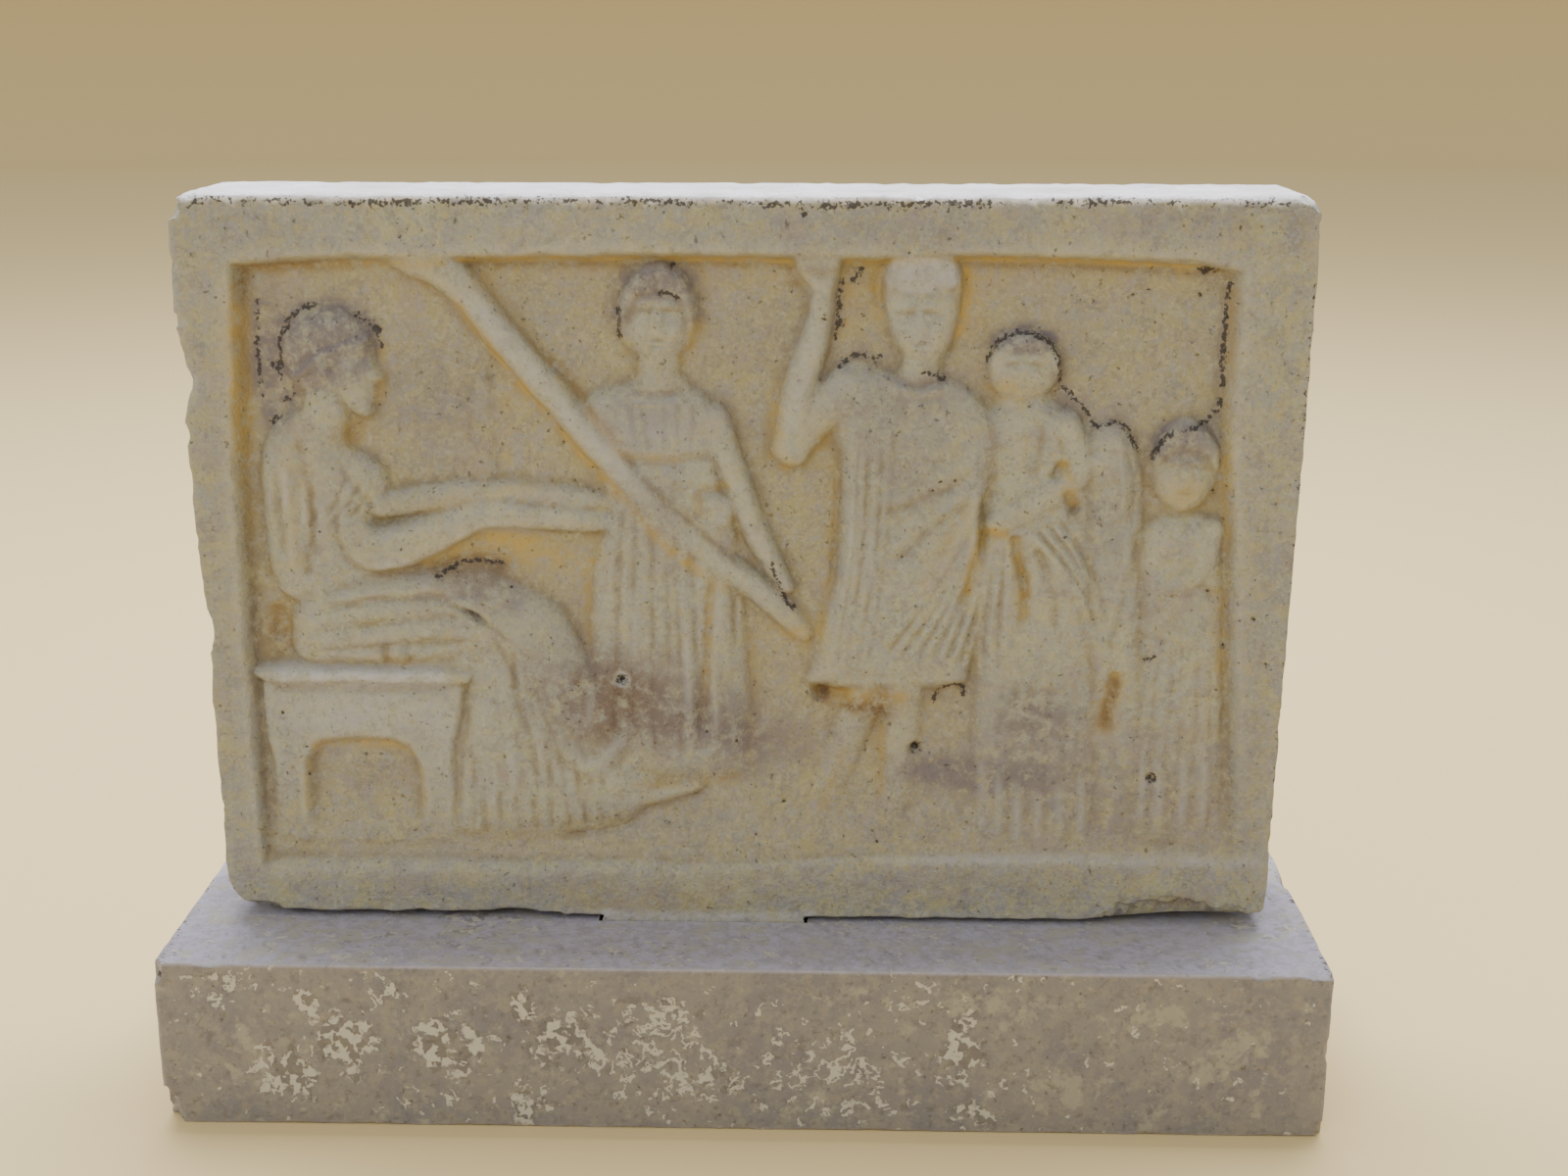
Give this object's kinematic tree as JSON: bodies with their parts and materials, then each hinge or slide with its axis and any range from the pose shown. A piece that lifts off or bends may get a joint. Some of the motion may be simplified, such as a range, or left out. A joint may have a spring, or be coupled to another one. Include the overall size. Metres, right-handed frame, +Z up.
{
  "type": "carved stone stele on a plinth",
  "caption": "Rectangular marble votive stele with a relief of draped figures in a sunk field, set by a tenon in a low limestone plinth.",
  "frame": {"origin": "middle of the plinth's underside", "axes": "+Z up; +X along the plinth, to the right of someone facing the carved side; the carved side faces -Y"},
  "size_m": [0.489, 0.155, 0.3856],
  "materials": {
    "marble": "weathered, mottled beige and grey marble with ochre soil in the hollows",
    "limestone": "honed purplish grey limestone with pale fossil patches and small pits"
  },
  "bodies": {
    "root": {"plinth": "limestone", "stele": "marble"}
  },
  "joints": []
}
